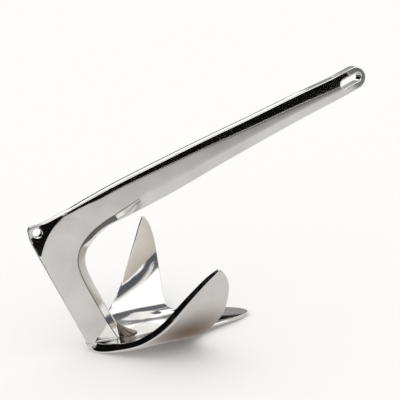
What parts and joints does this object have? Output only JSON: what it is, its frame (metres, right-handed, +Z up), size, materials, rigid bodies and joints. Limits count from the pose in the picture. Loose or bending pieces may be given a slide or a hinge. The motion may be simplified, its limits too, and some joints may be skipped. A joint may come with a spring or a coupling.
{
  "type": "claw boat anchor",
  "caption": "Polished steel claw anchor: a bent shank with a slotted shackle eye and a trip line hole, welded into a three-lobed, dished fluke.",
  "frame": {"origin": "on the ground under the middle of the anchor's length, in its plane of symmetry, with the anchor standing on the sole of its fluke", "axes": "+X from the crown towards the shackle eye, +Y to port, +Z up"},
  "size_m": [0.5748, 0.3616, 0.3746],
  "materials": {
    "polished_steel": "polished",
    "ground_weld": "gloss"
  },
  "bodies": {
    "root": {"fluke": "polished_steel", "shank": "polished_steel", "port_root_weld": "ground_weld", "starboard_root_weld": "ground_weld", "throat_weld": "ground_weld", "heel_weld": "ground_weld"}
  },
  "joints": []
}
